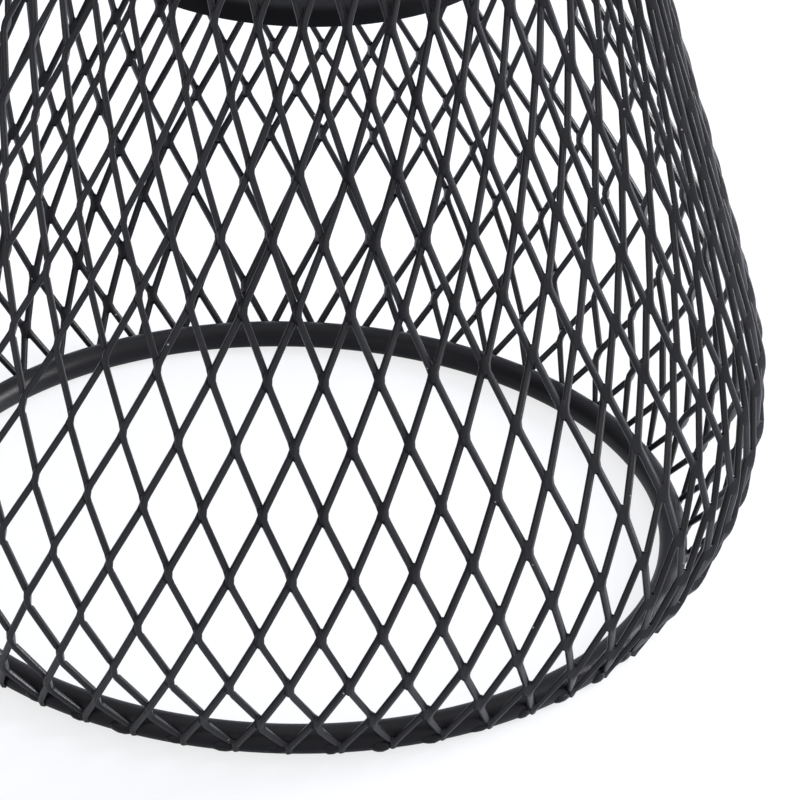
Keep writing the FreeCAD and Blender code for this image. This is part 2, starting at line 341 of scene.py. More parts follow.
def seed(name: str, points: list[Any], faces: Faces, values: dict[str, list[Any]]) -> Object:
    """Make an object that feeds a geometry tree.

    Args:
        name: The object's name.
        points: Its points.
        faces: Its faces, if it has any.
        values: For each attribute, a number or a vector for every point. Whole numbers make
            a whole-number attribute.

    Returns:
        The object, which the tree's run or its builder removes.
    """
    mesh = bpy.data.meshes.new(name)
    mesh.from_pydata(points, [], faces)
    for label, rows in values.items():
        if isinstance(rows[0], (int, float)):
            kind = "INT" if isinstance(rows[0], int) else "FLOAT"
            mesh.attributes.new(label, kind, "POINT").data.foreach_set("value", rows)
        else:
            numbers = [number for row in rows for number in row]
            attribute = mesh.attributes.new(label, "FLOAT_VECTOR", "POINT")
            attribute.data.foreach_set("vector", numbers)
    return new_object(name, mesh)


def new_tree(name: str, sizes: Iterable[str]) -> tuple[NodeTree, Any, Any]:
    """Start a geometry tree with named inputs.

    Args:
        name: The tree's name.
        sizes: The names of its inputs, each of which is a number.

    Returns:
        The tree, its group input node and its group output node.
    """
    tree = bpy.data.node_groups.new(name, "GeometryNodeTree")
    for way in ("INPUT", "OUTPUT"):
        tree.interface.new_socket("Geometry", in_out=way, socket_type="NodeSocketGeometry")
    for label in sizes:
        tree.interface.new_socket(label, in_out="INPUT", socket_type="NodeSocketFloat")
    return tree, tree.nodes.new("NodeGroupInput"), tree.nodes.new("NodeGroupOutput")


def finish_tree(tree: NodeTree, result: Any, shape: bpy.types.NodeSocket, coat: Material) -> None:
    """End a geometry tree: make its instances real, shade them smooth and coat them.

    Args:
        tree: The geometry tree.
        result: Its group output node.
        shape: The socket that gives the finished shape.
        coat: The finish.
    """
    real = add_node(tree, "GeometryNodeRealizeInstances", {"Geometry": shape})
    smooth = {"Geometry": real.outputs[0], "Shade Smooth": True}
    shaded = add_node(tree, "GeometryNodeSetShadeSmooth", smooth)
    coated = {"Geometry": shaded.outputs[0], "Material": coat}
    tree.links.new(add_node(tree, "GeometryNodeSetMaterial", coated).outputs[0], result.inputs[0])


def keep_result(carrier: Object, modifier: bpy.types.Modifier, name: str) -> Object:
    """Keep what an object's modifier makes as a plain mesh.

    Args:
        carrier: The object that has the modifier. It is removed afterwards.
        modifier: The modifier, set and ready.
        name: The name of the object that takes its place.

    Returns:
        The new object, without modifiers.
    """
    bpy.context.view_layer.update()
    evaluated = carrier.evaluated_get(bpy.context.evaluated_depsgraph_get())
    mesh = bpy.data.meshes.new_from_object(evaluated)
    carrier.modifiers.remove(modifier)
    bpy.data.objects.remove(carrier)
    mesh.name = name
    return new_object(name, mesh)


def run_tree(carrier: Object, tree: NodeTree, values: dict[str, Any], name: str) -> Object:
    """Run a geometry tree on an object and keep the result as a plain mesh.

    Args:
        carrier: The object whose mesh feeds the tree. It is removed afterwards.
        tree: The geometry tree.
        values: A value for each named input.
        name: The name of the finished piece.

    Returns:
        The finished object.
    """
    modifier = carrier.modifiers.new("tree", "NODES")
    modifier.node_group = tree
    for item in tree.interface.items_tree:
        if item.in_out == "INPUT" and item.name in values:
            modifier[item.identifier] = values[item.name]
    return keep_result(carrier, modifier, name)


@dataclass
class MeshCage:
    """The expanded metal: tilted knuckles in rows round the wall, joined by flat strands.

    The sheet is slit and pulled open, so every knuckle turns on edge like a louvre: its right
    half stands out of the wall and its left half sinks in. A strand is a strip of the sheet
    that runs straight from one half of a knuckle to the other half of the next one up.
    """

    # The sheet's pattern: how it goes round, how it stacks and where it starts.
    wall: WallLine = field(default_factory=WallLine)
    diamonds_round: int = 51
    half_rows: int = 13
    mesh_turn: float = 5.517
    foot_squeeze: float = 0.924
    squeezed_rows: int = 2
    longest_strand: float = 30.0
    # A knuckle on its own tilted plane, and the strands that leave it.
    tilt: float = 62.0
    half_width: float = 0.84
    sheet: float = 0.92
    strand_width: float = 0.96
    edge_round: float = 0.2
    # For its left and its right half: half the height of the straight edge, and how far from
    # the middle a strand leaves it.
    edges: tuple[float, float] = (0.1, 0.45)
    roots: tuple[float, float] = (0.5, 0.75)
    # The notch between two strands, and the share of a strand that it takes to even out.
    notch: float = 1.42
    notch_floor: float = 0.3
    neck_share: float = 0.09
    cut_end: float = 0.45
    # The step to the next knuckle up, where a cell is drawn on a flat wall.
    usual_side_step: float = 3.75
    usual_up_step: float = 8.1
    # Unevenness of the pressed cage: the turn in degrees about which it mirrors, how far its
    # rows wander up and down, how far its sides stand out and at what share of its height
    # most, and how far the mesh shifts round the axis there.
    uneven_turn: float = 1.74
    uneven_lift: float = 1.1
    side_bulge: float = 1.1
    side_bulge_share: float = 0.27
    side_turn: float = 0.1
    side_pull: float = 0.15
    side_draw: float = 0.45
    # How much finer the mesh gets from its foot to its top edge.
    slimming: float = 0.15
    # The foot's press against the ring: its reach up the wall, and how far it lifts, sinks
    # and thins the metal there.
    foot_press: float = 6.0
    foot_tuck: float = 0.5
    foot_sink: float = 0.4
    foot_thinning: float = 0.4
    # Points that lie this close where two cells meet become one.
    join_within: float = 0.01
    # How flat the wide faces look, so that only the rounded edges turn the light.
    flatness: int = 60

    def rows(self) -> list[float]:
        """Find how far up the wall each row of knuckles lies.

        Returns:
            Lengths from the foot, such that all strands above the squeezed rows are equally
            long and the last row ends at the cage's height.
        """
        half_pitch = pi / self.diamonds_round

        def stacked(strand: float) -> list[float]:
            """Stack the rows for one strand length."""
            lengths = [0.0]
            for row in range(self.half_rows):
                goal = strand * (self.foot_squeeze if row < self.squeezed_rows else 1.0)
                start = lengths[-1]
                radius, height, _ = self.wall.at(start)

                def too_short(length: float) -> bool:
                    """Whether a strand that ends at this length is shorter than its goal."""
                    next_radius, next_height, _ = self.wall.at(length)
                    across = half_pitch * 0.5 * (radius + next_radius)
                    return hypot(next_radius - radius, next_height - height, across) < goal

                lengths.append(bisect(too_short, start, start + goal))
            return lengths

        top = self.wall.foot_lift + self.wall.cage_height
        strand = bisect(
            lambda size: self.wall.at(stacked(size)[-1])[1] < top, 0.0, self.longest_strand
        )
        return stacked(strand)

    def on_knuckle(self, across: float, up: float, through: float) -> Vector:
        """Turn a place on the tilted knuckle to an offset along, up and out of the wall."""
        sine, cosine = sin(radians(self.tilt)), cos(radians(self.tilt))
        return Vector((across * cosine - through * sine, up, across * sine + through * cosine))

    def strand_lines(self, side: int) -> list[tuple[Vector, Vector]]:
        """Find the eight long edges of a strand that rises to one side.

        Args:
            side: 1 for a strand that rises to the right, -1 for one that rises to the left.

        Returns:
            For each edge, in order round the strand, its offset from the lower knuckle and
            its offset from the upper knuckle.
        """
        low = self.on_knuckle(side * self.half_width * 0.5, self.roots[side > 0], 0.0)
        high = self.on_knuckle(-side * self.half_width * 0.5, -self.roots[side < 0], 0.0)
        step = Vector((side * self.usual_side_step, self.usual_up_step, 0.0))
        run = (step + high - low).normalized()
        across = self.on_knuckle(side, 0.0, 0.0)
        across = (across - run * across.dot(run)).normalized()
        out = across.cross(run) * side
        spread = across * self.strand_width * 0.5
        lines = ((low - spread, high - spread), (low + spread, high + spread))
        face = self.sheet * 0.5
        flank = face - self.edge_round
        inset = across * self.edge_round
        section = (
            (0, out * flank), (0, inset + out * face), (1, out * face - inset), (1, out * flank),
            (1, -out * flank), (1, -out * face - inset), (0, inset - out * face), (0, -out * flank),
        )
        return [(lines[line][0] + shift, lines[line][1] + shift) for line, shift in section]

    def cell(self, cut: Cut) -> Object:
        """Build one knuckle with its strands, as the seed that the tree repeats.

        Each point lies on a straight line between a place by the knuckle and a place by one
        of its neighbours.

        Args:
            cut: Where the knuckle stands.

        Returns:
            A hidden object with the attributes "near" and "far", the two places as offsets
            in millimetres, and "reach": the neighbour's side and rise, and the share of the
            way towards it.
        """
        near: list[Vector] = []
        far: list[Vector] = []
        reach: list[Vector] = []
        faces: Faces = []
        face_out = self.sheet * 0.5
        flank = face_out - self.edge_round

        def add(own: Vector, other: Vector = Vector(), towards: Vector = Vector()) -> int:
            """Add a point and return its number."""
            near.append(own)
            far.append(other)
            reach.append(towards)
            return len(near) - 1

        def place(index: int) -> Vector:
            """Where a point lies on a flat wall with the usual steps."""
            side, rise, share = reach[index]
            step = Vector((side * self.usual_side_step, rise * self.usual_up_step, 0.0))
            return near[index] * (1.0 - share) + (far[index] + step) * share

        def skin(corners: tuple[int, ...], inside: Vector) -> None:
            """Add a face that looks away from a point inside the metal."""
            places = [place(index) for index in corners]
            centre = sum(places, Vector()) / len(places)
            normal = (places[1] - places[0]).cross(places[2] - places[1])
            faces.append(corners if normal.dot(centre - inside) > 0.0 else corners[::-1])

        def tube(first: list[int], second: list[int]) -> None:
            """Join two sections of a strand."""
            inside = sum((place(index) for index in first + second), Vector())
            inside /= 2 * len(first)
            for here in range(len(first)):
                after = (here + 1) % len(first)
                skin((first[here], first[after], second[after], second[here]), inside)

        def neck(side: int, rise: int, share: float) -> list[int]:
            """Add a section of the strand to one neighbour."""
            towards = Vector((side, rise, share))
            return [add(*line[::rise], towards) for line in self.strand_lines(side * rise)]

        edge: dict[tuple[int, int], list[int]] = {}
        notch: dict[tuple[int, int], list[int]] = {}
        for rise in (1, -1):
            is_cut = (cut is Cut.TOP and rise > 0) or (cut is Cut.FOOT and rise < 0)
            valley = rise * (self.cut_end if is_cut else self.notch)
            face_valley = valley if is_cut else valley - rise * self.edge_round
            outer = add(self.on_knuckle(0.0, face_valley, face_out))
            inner = add(self.on_knuckle(0.0, face_valley, -face_out))
            for side in (1, -1):
                up = rise * self.edges[side > 0]
                rim = side * self.half_width
                shy = rim - side * self.edge_round
                corners = ((shy, face_out), (rim, flank), (rim, -flank), (shy, -face_out))
                edge[side, rise] = [add(self.on_knuckle(at, up, off)) for at, off in corners]
                notch[side, rise] = [outer, inner]
                if not is_cut:
                    floor = side * self.notch_floor
                    deep = [add(self.on_knuckle(floor, valley, off)) for off in (flank, -flank)]
                    notch[side, rise] = [outer, *deep, inner]
        centre = Vector()
        for side in (1, -1):
            high, low = edge[side, 1], edge[side, -1]
            skin((notch[side, 1][0], high[0], low[0], notch[side, -1][0]), centre)
            skin((notch[side, 1][-1], high[-1], low[-1], notch[side, -1][-1]), centre)
            for here in range(3):
                skin((high[here], high[here + 1], low[here + 1], low[here]), centre)
        for rise in (1, -1):
            right, left = notch[1, rise], notch[-1, rise]
            if len(right) == 2:
                rim = edge[1, rise] + [right[1]] + edge[-1, rise][::-1] + [right[0]]
                skin(tuple(rim), centre)
                continue
            skin((right[0], right[1], left[1]), centre)
            skin((right[1], right[2], left[2], left[1]), centre)
            skin((right[3], right[2], left[2]), centre)
            for side in (1, -1):
                valley, rim = notch[side, rise], edge[side, rise]
                first, second = (valley, rim) if rise > 0 else (rim, valley)
                fold = [first[1], first[0], *second, first[3], first[2]]
                root = neck(side, rise, self.neck_share)
                tube(fold, root)
                if rise > 0:
                    tube(root, neck(side, rise, 1.0 - self.neck_share))
        values = {"near": near, "far": far, "reach": reach}
        return seed(f"knuckle_{cut.name.lower()}", near, faces, values)

    def seeds(self) -> Object:
        """Build one point for each knuckle, with the steps to the rows above and below.

        Returns:
            An object whose points hold "turn", "length", "step_up", "step_down" and "cut".
        """
        rows = self.rows()
        half_pitch = pi / self.diamonds_round
        knuckles: list[tuple[Any, ...]] = []
        for row, length in enumerate(rows):
            up = rows[row + 1] - length if row < self.half_rows else 0.0
            down = length - rows[row - 1] if row else 0.0
            cut = Cut.FOOT if row == 0 else Cut.TOP if row == self.half_rows else Cut.MIDDLE
            for column in range((row + 1) % 2, 2 * self.diamonds_round, 2):
                turn = radians(self.mesh_turn) + column * half_pitch
                knuckles.append((turn, length, up, down, cut.value))
        names = ("turn", "length", "step_up", "step_down", "cut")
        values = {name: list(column) for name, column in zip(names, zip(*knuckles))}
        return seed("knuckle_seeds", [Vector()] * len(knuckles), [], values)

    def on_wall(
        self, tree: NodeTree, sizes: dict[str, Sum], turn: Sum, length: Sum, name: str
    ) -> list[Sum]:
        """Add the nodes that lay an offset from a knuckle on the wall.

        Args:
            tree: The tree that gets them.
            sizes: The wall's sizes.
            turn: The knuckle's angle round the axis.
            length: Its distance up the wall.
            name: The attribute that holds the offset along, up and out of the wall.

        Returns:
            The three coordinates in millimetres.
        """
        vector = add_node(tree, ATTRIBUTE, {"Name": name}, data_type="FLOAT_VECTOR")
        split = add_node(tree, "ShaderNodeSeparateXYZ", {0: vector.outputs["Attribute"]})
        share = length / sizes["Mesh Length"]
        slim = share * -self.slimming + 1.0
        along, up, out = (Sum(tree, socket) * slim for socket in split.outputs)
        sideways = (turn - radians(self.uneven_turn)).do("SINE")
        flank = (sideways * sideways).do("POWER", 2.0)
        lift = (share * tau).do("SINE") * sideways * self.uneven_lift
        bulging = ((share - self.side_bulge_share) * pi).do("COSINE").do("MAXIMUM", 0.0)
        pressed = (length * (-1.0 / self.foot_press) + 1.0).do("MAXIMUM", 0.0)
        drawn = sideways * (sideways * -self.side_draw - self.side_pull) + self.side_turn
        along = along + bulging * drawn
        up = up + lift + pressed * self.foot_tuck
        out = out * (pressed * -self.foot_thinning + 1.0) + flank * bulging * self.side_bulge
        out = out - pressed * self.foot_sink
        flare, bulge = sizes["Flare Angle"], sizes["Bulge Radius"]
        bend_length = bulge * (flare + sizes["Cone Angle"])
        straight = length.do("MINIMUM", sizes["Flare Length"])
        above = length - sizes["Flare Length"]
        turned = above.do("MAXIMUM", 0.0).do("MINIMUM", bend_length)
        rest = (above - bend_length).do("MAXIMUM", 0.0)
        lean = flare - turned / bulge
        sine, cosine = lean.do("SINE"), lean.do("COSINE")
        radius = sizes["Foot Radius"] + straight * flare.do("SINE")
        radius = radius + bulge * (cosine - flare.do("COSINE")) + (rest + up) * sine + out * cosine
        height = sizes["Foot Lift"] + straight * flare.do("COSINE")
        height = height + bulge * (flare.do("SINE") - sine) + (rest + up) * cosine - out * sine
        turn_sine, turn_cosine = turn.do("SINE"), turn.do("COSINE")
        return [
            radius * turn_sine + along * turn_cosine,
            along * turn_sine - radius * turn_cosine,
            height,
        ]

    def tree(self, names: Iterable[str], cells: list[Object], coat: Material) -> NodeTree:
        """Build the tree that repeats the knuckles and lays them on the wall.

        Args:
            names: The names of the wall's sizes.
            cells: The knuckle seeds, in the order of Cut.
            coat: The finish.

        Returns:
            The geometry tree.
        """
        tree, given, result = new_tree("expanded_metal", names)
        sizes = {name: Sum(tree, given.outputs[name]) for name in names}
        seeds = add_node(tree, "GeometryNodeGeometryToInstance")
        for cell in reversed(cells):
            info = add_node(tree, "GeometryNodeObjectInfo", {"Object": cell})
            tree.links.new(info.outputs["Geometry"], seeds.inputs[0])
        kinds = dict.fromkeys(("turn", "length", "step_up", "step_down"), "FLOAT")
        kinds |= {"cut": "INT", "reach": "FLOAT_VECTOR"}
        read = {}
        for name, kind in kinds.items():
            node = add_node(tree, ATTRIBUTE, {"Name": name}, data_type=kind)
            read[name] = Sum(tree, node.outputs["Attribute"])
        spread = {"Points": given.outputs["Geometry"], "Instance": seeds.outputs[0]}
        spread |= {"Pick Instance": True, "Instance Index": read["cut"].socket}
        placed = add_node(tree, "GeometryNodeInstanceOnPoints", spread)
        real = add_node(tree, "GeometryNodeRealizeInstances", {"Geometry": placed.outputs[0]})
        split = add_node(tree, "ShaderNodeSeparateXYZ", {0: read["reach"].socket})
        side, rise, share = (Sum(tree, socket) for socket in split.outputs)
        climb = rise.do("MAXIMUM", 0.0) * read["step_up"]
        climb = climb + rise.do("MINIMUM", 0.0) * read["step_down"]
        here = self.on_wall(tree, sizes, read["turn"], read["length"], "near")
        there_turn = read["turn"] + side * sizes["Half Pitch"]
        there = self.on_wall(tree, sizes, there_turn, read["length"] + climb, "far")
        mixed = [(own + (other - own) * share) * MM for own, other in zip(here, there)]
        axes = dict(enumerate(axis.socket for axis in mixed))
        place = add_node(tree, "ShaderNodeCombineXYZ", axes).outputs[0]
        laid = {"Geometry": real.outputs[0], "Position": place}
        joined = {
            "Geometry": add_node(tree, "GeometryNodeSetPosition", laid).outputs[0],
            "Distance": self.join_within * MM,
        }
        shape = add_node(tree, "GeometryNodeMergeByDistance", joined).outputs[0]
        finish_tree(tree, result, shape, coat)
        return tree

    def build(self, coat: Material) -> Object:
        """Make the finished cage.

        Args:
            coat: The finish.

        Returns:
            One closed mesh in place.
        """
        cells = [self.cell(cut) for cut in Cut]
        wall = self.wall
        sizes = {
            "Foot Radius": wall.foot_radius,
            "Foot Lift": wall.foot_lift,
            "Flare Angle": radians(wall.flare_angle),
            "Flare Length": wall.flare_length,
            "Bulge Radius": wall.bulge_radius,
            "Cone Angle": radians(wall.cone_angle),
            "Half Pitch": pi / self.diamonds_round,
            "Mesh Length": self.rows()[-1],
        }
        tree = self.tree(sizes, cells, coat)
        cage = run_tree(self.seeds(), tree, sizes, "expanded_metal_cage")
        for cell in cells:
            bpy.data.objects.remove(cell)
        weighted = cage.modifiers.new("weighted", "WEIGHTED_NORMAL")
        weighted.weight = self.flatness
        cage = keep_result(cage, weighted, cage.name)
        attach(cage, "root")
        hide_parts("mesh_cage")
        return cage


@dataclass
class RodRing:
    """A ring of round rod, bent, butt-welded and ground flush."""

    name: str
    node: str
    rod_radius: float = 2.0
    outward: float = 0.0
    turns: int = 288
    facets: int = 20

    def build(self, coat: Material) -> Object:
        """Make the ring where the frame has its node.

        Args:
            coat: The finish.

        Returns:
            One closed mesh in place.
        """
        low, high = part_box(self.node)
        centre = (high.z + low.z) / 2.0
        radius = (high.x - low.x) / 2.0 - (high.z - low.z) / 2.0 + self.outward * MM
        sizes = {"Ring Radius": radius, "Rod Radius": self.rod_radius * MM, "Height": centre}
        tree, given, result = new_tree(self.name, sizes)
        ring, rod = (
            add_node(
                tree, "GeometryNodeCurvePrimitiveCircle",
                {"Resolution": steps, "Radius": given.outputs[size]},
            ).outputs["Curve"]
            for steps, size in ((self.turns, "Ring Radius"), (self.facets, "Rod Radius"))
        )
        tube = add_node(tree, "GeometryNodeCurveToMesh", {"Curve": ring, "Profile Curve": rod})
        lift = add_node(tree, "ShaderNodeCombineXYZ", {2: given.outputs["Height"]})
        raised = {"Geometry": tube.outputs[0], "Offset": lift.outputs[0]}
        shape = add_node(tree, "GeometryNodeSetPosition", raised).outputs[0]
        finish_tree(tree, result, shape, coat)
        made = run_tree(seed(f"{self.name}_seed", [], [], {}), tree, sizes, self.name)
        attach(made, "root")
        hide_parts(self.node)
        return made


@dataclass
class FootWelds:
    """The beads that weld the cut foot of the mesh to the rod, smoothed over by the coat.

    A bead lies on the rod beside each foot of the mesh, some degrees below the rod's middle.
    """

    mesh: MeshCage = field(default_factory=MeshCage)
    below: float = 18.0
    below_spread: float = 10.0
    aside: float = 1.3
    aside_spread: float = 0.4
    depth: float = 1.75
    size: tuple[float, float, float] = (1.5, 0.95, 0.62)
    size_spread: float = 0.28
    seed: int = 51

    def build(self, coat: Material) -> Object:
        """Lay one bead by each foot of the mesh.

        Args:
            coat: The finish.

        Returns:
            One mesh of closed beads in place.
        """
        low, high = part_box("bottom_ring")
        middle = (high.z + low.z) / 2.0
        ring = (high.x - low.x) / 2.0 - (high.z - low.z) / 2.0 + FOOT_RING_OUTWARD * MM
        first, count = radians(self.mesh.mesh_turn), self.mesh.diamonds_round
        chance = random.Random(self.seed)
        places: list[Vector] = []
        values: dict[str, list[Any]] = {"spin": [], "size": []}
        for knuckle in range(count):
            turn = first + (2 * knuckle + 1) * pi / count
            turn -= (self.aside + chance.uniform(-self.aside_spread, self.aside_spread)) * MM / ring
            below = radians(self.below + chance.uniform(-self.below_spread, self.below_spread))
            away = Vector((sin(turn), -cos(turn), 0.0))
            along = Vector((cos(turn), sin(turn), 0.0))
            outward = away * cos(below) - Vector((0.0, 0.0, sin(below)))
            places.append(away * ring + Vector((0.0, 0.0, middle)) + outward * self.depth * MM)
            spin = Matrix((along, outward.cross(along), outward)).transposed().to_euler()
            values["spin"].append(spin)
            values["size"].append([
                length * (1.0 + chance.uniform(-self.size_spread, self.size_spread))
                for length in self.size
            ])
        tree, given, result = new_tree("foot_welds", ["Bead Radius"])
        ball = {"Radius": given.outputs["Bead Radius"], "Subdivisions": 2}
        bead = add_node(tree, "GeometryNodeMeshIcoSphere", ball)
        spin, size = (
            add_node(tree, ATTRIBUTE, {"Name": name}, data_type="FLOAT_VECTOR").outputs["Attribute"]
            for name in ("spin", "size")
        )
        spread = {"Points": given.outputs["Geometry"], "Instance": bead.outputs["Mesh"]}
        spread |= {"Rotation": spin, "Scale": size}
        laid = add_node(tree, "GeometryNodeInstanceOnPoints", spread)
        finish_tree(tree, result, laid.outputs[0], coat)
        carrier = seed("weld_seeds", places, [], values)
        made = run_tree(carrier, tree, {"Bead Radius": MM}, "foot_welds")
        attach(made, "root")
        return made


@dataclass
class FitterCollar:
    """The pressed collar: a plate with a round hole and a rim turned down in a small bend."""

    sheet: float = 1.0
    bend: float = 0.9
    inner_bend: float = 0.3
    edge_break: float = 0.25
    hole_radius: float = 21.0
    turns: int = 192

    def outline(self, outside: float, foot: float, top: float) -> Line:
        """Work out the collar's section, with its bend and softened edges.

        Args:
            outside: Outer radius in millimetres.
            foot: Height of the rim's lower edge.
            top: Height of the plate's upper face.

        Returns:
            Radius and height of each corner, anticlockwise seen with the axis on the left.
        """
        inside = outside - self.sheet
        under = top - self.sheet
        soft, bend, inner = self.edge_break, self.bend, self.inner_bend
        hole = self.hole_radius

        def arc(out: float, up: float, size: float, start: float, end: float, steps: int) -> Line:
            """Points of an arc about a centre, from one angle to another in degrees."""
            turns = (radians(start + (end - start) * step / steps) for step in range(steps + 1))
            return [(out + size * cos(turn), up + size * sin(turn)) for turn in turns]

        return (
            arc(outside - soft, foot + soft, soft, -90, 0, 2)
            + arc(outside - bend, top - bend, bend, 0, 90, 5)
            + arc(hole + soft, top - soft, soft, 90, 180, 2)
            + arc(hole + soft, under + soft, soft, 180, 270, 2)
            + arc(inside - inner, under - inner, inner, 90, 0, 3)
            + arc(inside + soft, foot + soft, soft, 180, 270, 2)
        )

    def build(self, coat: Material) -> Object:
        """Turn the section about the axis.

        Args:
            coat: The finish.

        Returns:
            One closed mesh in place.
        """
        low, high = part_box("fitter_ring")
        outline = self.outline((high.x - low.x) / 2.0 / MM, low.z / MM, high.z / MM)
        count = len(outline)
        points: list[tuple[float, float, float]] = []
        faces: Faces = []
        for step in range(self.turns):
            angle = tau * step / self.turns
            across, along = cos(angle) * MM, sin(angle) * MM
            points += [(radius * across, radius * along, height * MM) for radius, height in outline]
            here, ahead = step * count, (step + 1) % self.turns * count
            for side in range(count):
                after = (side + 1) % count
                faces.append((here + side, ahead + side, ahead + after, here + after))
        made = solid("fitter_collar", points, faces, coat)
        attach(made, "root")
        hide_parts("fitter_ring")
        return made


@dataclass
class FitterArm:
    """A bent wire arm, from the collar's plate up to the underside of the top ring."""

    number: int
    rod_radius: float = 1.5
    foot: float = 4.5
    head: float = 4.2
    bend: float = 4.0
    end_round: float = 0.35
    first_angle: float = 90.0
    arms: int = 3
    facets: int = 20
    steps: int = 8

    def line(self, start: float, end: float, low: float, high: float) -> Line:
        """Find the bent centre line.

        Args:
            start: Distance of the arm's foot from the axis, in millimetres.
            end: Distance of its head from the axis.
            low: Height of the foot.
            high: Height of the head.

        Returns:
            Distance from the axis and height of each point.
        """
        run = end - self.head - start - self.foot

        def too_flat(angle: float) -> bool:
            """Whether a slope of this angle ends below the head."""
            drop = 2.0 * self.bend * (1.0 - cos(angle))
            return drop + (run - 2.0 * self.bend * sin(angle)) * tan(angle) < high - low

        slope = bisect(too_flat, 0.0, 0.4 * pi)
        turns = (slope * step / self.steps for step in range(self.steps + 1))
        curve = [(self.bend * sin(turn), self.bend * (1.0 - cos(turn))) for turn in turns]
        rising = [(start + self.foot + out, low + up) for out, up in curve]
        level = [(end - self.head - out, high - up) for out, up in reversed(curve)]
        return [(start, low), *rising, *level, (end, high)]

    def build(self, coat: Material) -> Object:
        """Sweep the wire along its line and break its two cut edges.

        Args:
            coat: The finish.

        Returns:
            One closed mesh in place.
        """
        soft, wire = self.end_round, self.rod_radius
        back_low, back_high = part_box("fitter_arm_1")
        low, high = back_low.z / MM + wire, back_high.z / MM - wire
        line = self.line(back_low.y / MM, back_high.y / MM, low, high)
        first, last = line[0], line[-1]
        angle = radians(self.first_angle + 360.0 * (self.number - 1) / self.arms)
        away = Vector((cos(angle), sin(angle), 0.0))
        side = Vector((-sin(angle), cos(angle), 0.0))
        up = Vector((0.0, 0.0, 1.0))
        rings = [
            (first, wire - soft),
            ((first[0] + soft, first[1]), wire),
            *((place, wire) for place in line[1:-1]),
            ((last[0] - soft, last[1]), wire),
            (last, wire - soft),
        ]
        count = self.facets
        points: list[Vector] = []
        for index, ((reach, height), size) in enumerate(rings):
            before = rings[max(index - 1, 0)][0]
            after = rings[min(index + 1, len(rings) - 1)][0]
            tangent = (away * (after[0] - before[0]) + up * (after[1] - before[1])).normalized()
            across = side.cross(tangent)
            for facet in range(count):
                turn = tau * facet / count
                spoke = side * cos(turn) + across * sin(turn)
                points.append((away * reach + up * height + spoke * size) * MM)
        faces: Faces = [tuple(range(count))]
        for here in range(0, len(points) - count, count):
            for facet in range(count):
                after, there = (facet + 1) % count, here + count
                faces.append((here + facet, there + facet, there + after, here + after))
        faces.append(tuple(reversed(range(len(points) - count, len(points)))))
        made = solid(f"fitter_wire_arm_{self.number}", points, faces, coat)
        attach(made, "root")
        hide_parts(f"fitter_arm_{self.number}")
        return made


@dataclass(frozen=True)
class SoftLamp:
    """A square soft lamp that faces the object, in metres and watts."""

    name: str
    place: tuple[float, float, float]
    size: float
    power: float
    aim: tuple[float, float, float] = (0.0, 0.0, 0.05)

    def hang(self) -> None:
        """Put the lamp in its place."""
        light = bpy.data.lights.new(self.name, "AREA")
        light.size = self.size
        light.energy = self.power
        made = new_object(self.name, light)
        made.location = self.place
        facing = Vector(self.aim) - Vector(self.place)
        made.rotation_euler = facing.to_track_quat("-Z", "Y").to_euler()


LAMPS = (
    SoftLamp("soft_top", (0.0, 0.1, 1.4), size=1.6, power=9.0),
    SoftLamp("soft_right", (1.1, 0.35, 0.55), size=0.5, power=29.0),
    SoftLamp("soft_left", (-0.6, -1.0, 0.6), size=0.9, power=3.5),
)


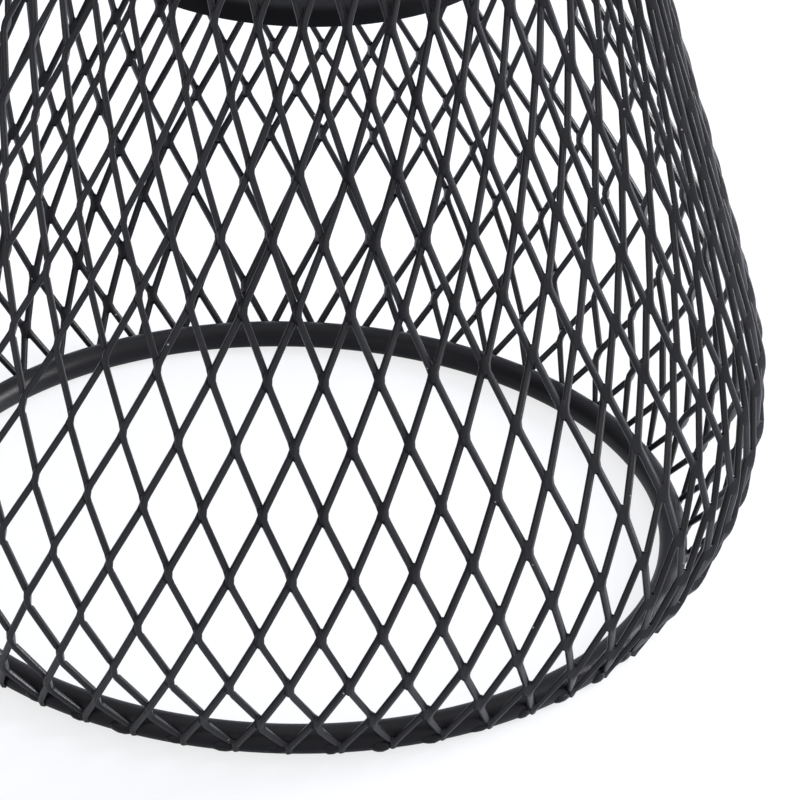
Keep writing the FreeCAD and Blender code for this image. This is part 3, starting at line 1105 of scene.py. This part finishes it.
@dataclass
class Studio:
    """A pale table that runs up into a backdrop, soft lamps and a white room."""

    floor_half_width: float = 1.6
    sweep_start: float = 0.7
    sweep_radius: float = 0.5
    sweep_steps: int = 16
    wall_height: float = 1.5
    floor_colour: str = "c8ccd8"
    floor_roughness: float = 0.35
    floor_ior: float = 1.45
    # How white the table looks by itself, and the share of that in what the camera and what
    # a reflection sees. The rest of it is lit, and takes the object's shadow.
    white_level: float = 1.16
    white_to_camera: float = 0.66
    white_in_reflection: float = 0.25
    # The room's light: its mean, its least, and how much more comes from each side.
    room_level: float = 0.5
    room_least: float = 0.06
    room_from_right: float = 0.38
    room_from_above: float = 0.15
    room_from_behind: float = -0.1

    def room(self, tree: NodeTree) -> Sum:
        """Add the nodes of the room's light, which is brighter from the right and from above."""
        ray = add_node(tree, "ShaderNodeTexCoord").outputs["Generated"]
        split = add_node(tree, "ShaderNodeSeparateXYZ", {0: ray})
        right, behind, above = (Sum(tree, socket) for socket in split.outputs)
        light = right * self.room_from_right + above * self.room_from_above
        light = light + behind * self.room_from_behind + self.room_level
        return light.do("MAXIMUM", self.room_least).do("MINIMUM", 1.0)

    def floor_material(self) -> Material:
        """White laminate: it looks white to the camera and still takes the object's shadow."""
        material = bpy.data.materials.new("white_laminate_table")
        material.use_nodes = True
        tree = material.node_tree
        tree.nodes.clear()
        paint = {"Base Color": linear(self.floor_colour), "Roughness": self.floor_roughness}
        paint["IOR"] = self.floor_ior
        lit = add_node(tree, "ShaderNodeBsdfPrincipled", paint)
        white = add_node(
            tree, "ShaderNodeEmission", {"Color": linear("ffffff"), "Strength": self.white_level}
        )
        path = add_node(tree, "ShaderNodeLightPath")
        mirrored = Sum(tree, path.outputs["Is Glossy Ray"]) * self.white_in_reflection
        seen = Sum(tree, path.outputs["Is Camera Ray"]) * self.white_to_camera
        share = seen.do("MAXIMUM", mirrored).socket
        both = {0: share, 1: lit.outputs[0], 2: white.outputs[0]}
        mix = add_node(tree, "ShaderNodeMixShader", both)
        add_node(tree, "ShaderNodeOutputMaterial", {"Surface": mix.outputs[0]})
        return material

    def build(self) -> None:
        """Make the table with its sweep, the room's light and the lamps."""
        start, radius = self.sweep_start, self.sweep_radius
        profile = [(-self.floor_half_width, 0.0), (start, 0.0)]
        for step in range(1, self.sweep_steps + 1):
            turn = 0.5 * pi * step / self.sweep_steps
            profile.append((start + radius * sin(turn), radius * (1.0 - cos(turn))))
        profile.append((start + radius, self.wall_height))
        points = [(side * self.floor_half_width, y, z) for y, z in profile for side in (-1, 1)]
        rows = range(0, 2 * len(profile) - 2, 2)
        faces = [(row, row + 1, row + 3, row + 2) for row in rows]
        solid("table", points, faces, self.floor_material())
        world = bpy.data.worlds.new("room")
        bpy.context.scene.world = world
        world.use_nodes = True
        tree = world.node_tree
        tree.nodes.clear()
        path = add_node(tree, "ShaderNodeLightPath")
        seen = Sum(tree, path.outputs["Is Camera Ray"])
        light = self.room(tree)
        strength = light + seen * (light * -1.0 + 1.0)
        shine = {"Color": linear("ffffff"), "Strength": strength.socket}
        background = add_node(tree, "ShaderNodeBackground", shine)
        add_node(tree, "ShaderNodeOutputWorld", {"Surface": background.outputs[0]})
        for lamp in LAMPS:
            lamp.hang()


@dataclass
class PhotoCamera:
    """The camera that took the photograph: its place, its dip, its roll and its lens."""

    place_mm: tuple[float, float, float] = (15.21, -501.74, 311.0)
    dip_degrees: float = 29.89
    roll_degrees: float = 2.148
    focal_pixels: float = 4083.8

    def build(self) -> None:
        """Set the camera up and make it the scene's."""
        dip, roll = radians(self.dip_degrees), radians(self.roll_degrees)
        ahead = Vector((0.0, cos(dip), -sin(dip)))
        level = Vector((1.0, 0.0, 0.0))
        down = Vector((0.0, -sin(dip), -cos(dip)))
        right = level * cos(roll) - down * sin(roll)
        below = level * sin(roll) + down * cos(roll)
        lens = bpy.data.cameras.new("photo_camera")
        lens.sensor_width = SENSOR_MM
        lens.lens = self.focal_pixels * SENSOR_MM / IMAGE_PIXELS
        lens.clip_start = 0.01
        camera = new_object("photo_camera", lens)
        turn = Matrix((right, -below, -ahead)).transposed().to_4x4()
        camera.matrix_world = Matrix.Translation(Vector(self.place_mm) * MM) @ turn
        bpy.context.scene.camera = camera


def main() -> None:
    """Build every sub-assembly in order, then the stage, the light and the camera."""
    logging.basicConfig(level=logging.INFO, format="%(name)s: %(message)s")
    bpy.context.scene.view_settings.view_transform = "Standard"
    mesh_coat = MESH_COAT.material()
    rod_coat = ROD_COAT.material()
    collar_coat_with_painted_shade = COLLAR_COAT_WITH_PAINTED_SHADE.material()
    made = [
        MeshCage().build(mesh_coat),
        RodRing("foot_rod_ring", "bottom_ring", outward=FOOT_RING_OUTWARD).build(rod_coat),
        FootWelds().build(rod_coat),
        RodRing("top_rod_ring", "top_ring").build(rod_coat),
        FitterCollar().build(collar_coat_with_painted_shade),
    ]
    made += [FitterArm(number + 1).build(rod_coat) for number in range(FitterArm.arms)]
    LOG.info("%d pieces for %d solids", len(made), len(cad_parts))
    for piece in made:
        LOG.info("%s: %d faces", piece.name, len(piece.data.polygons))
    Studio().build()
    PhotoCamera().build()


if __name__ == "__main__":
    main()
